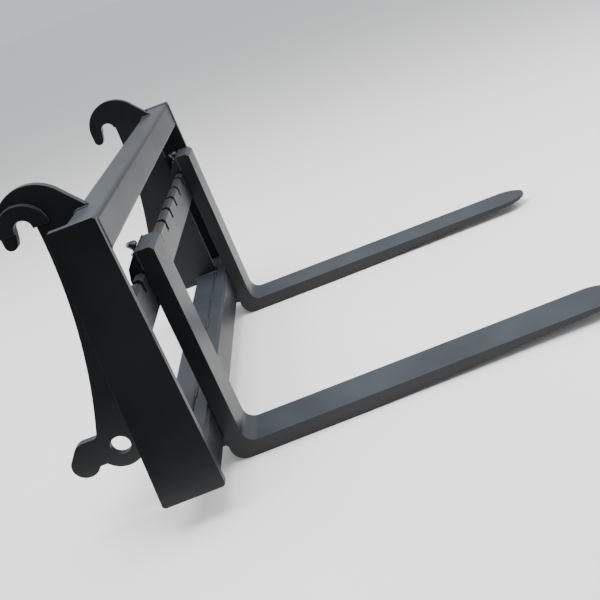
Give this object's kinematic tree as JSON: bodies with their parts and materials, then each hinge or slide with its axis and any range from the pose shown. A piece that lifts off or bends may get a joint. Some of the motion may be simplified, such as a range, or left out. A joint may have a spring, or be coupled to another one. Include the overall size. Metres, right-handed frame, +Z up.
{
  "type": "pallet fork attachment",
  "caption": "Hook-on carriage frame with sliding L-shaped fork arms, locked by drop latches, that lets a loader lift and carry pallets.",
  "frame": {"origin": "on the floor under the middle of the bounding box, at the level of the blades' undersides", "axes": "+X across the frame, -Y the way the forks point, +Y towards the carrying machine, +Z up"},
  "size_m": [1.4, 1.5004, 0.91],
  "materials": {
    "frame_paint": "semi-gloss black enamel over mill plate",
    "fork_paint": "semi-gloss black enamel over forged steel",
    "zinc": "zinc plated",
    "knob_steel": "turned and zinc plated",
    "spring_steel": "oiled spring wire"
  },
  "bodies": {
    "frame": {"side_plate_left": "frame_paint", "side_plate_right": "frame_paint", "top_tube": "frame_paint", "lower_tube": "frame_paint", "upper_bar": "frame_paint", "lower_bar": "frame_paint", "hook_plate_left": "frame_paint", "hook_plate_right": "frame_paint", "hook_cheek_left": "frame_paint", "hook_cheek_right": "frame_paint"},
    "fork_left": {"fork_left": "fork_paint", "upper_hook_left": "fork_paint", "lower_hook_left": "fork_paint", "latch_cap_left": "zinc"},
    "fork_right": {"fork_right": "fork_paint", "upper_hook_right": "fork_paint", "lower_hook_right": "fork_paint", "latch_cap_right": "zinc"},
    "latch_left": {"latch_pin_left": "zinc", "latch_knob_left": "knob_steel", "latch_spring_left": "spring_steel"},
    "latch_right": {"latch_pin_right": "zinc", "latch_knob_right": "knob_steel", "latch_spring_right": "spring_steel"}
  },
  "joints": [
    {"name": "left_fork_slide", "type": "slide", "parent": "frame", "child": "fork_left", "axis": [1, 0, 0], "range_m": [-0.12, 0.24]},
    {"name": "right_fork_slide", "type": "slide", "parent": "frame", "child": "fork_right", "axis": [1, 0, 0], "range_m": [-0.36, 0]},
    {"name": "left_latch_drop", "type": "slide", "parent": "fork_left", "child": "latch_left", "axis": [0, 0, -1], "range_m": [0, 0.012], "deforming": ["latch_spring_left"]},
    {"name": "right_latch_drop", "type": "slide", "parent": "fork_right", "child": "latch_right", "axis": [0, 0, -1], "range_m": [0, 0.012], "deforming": ["latch_spring_right"]}
  ]
}
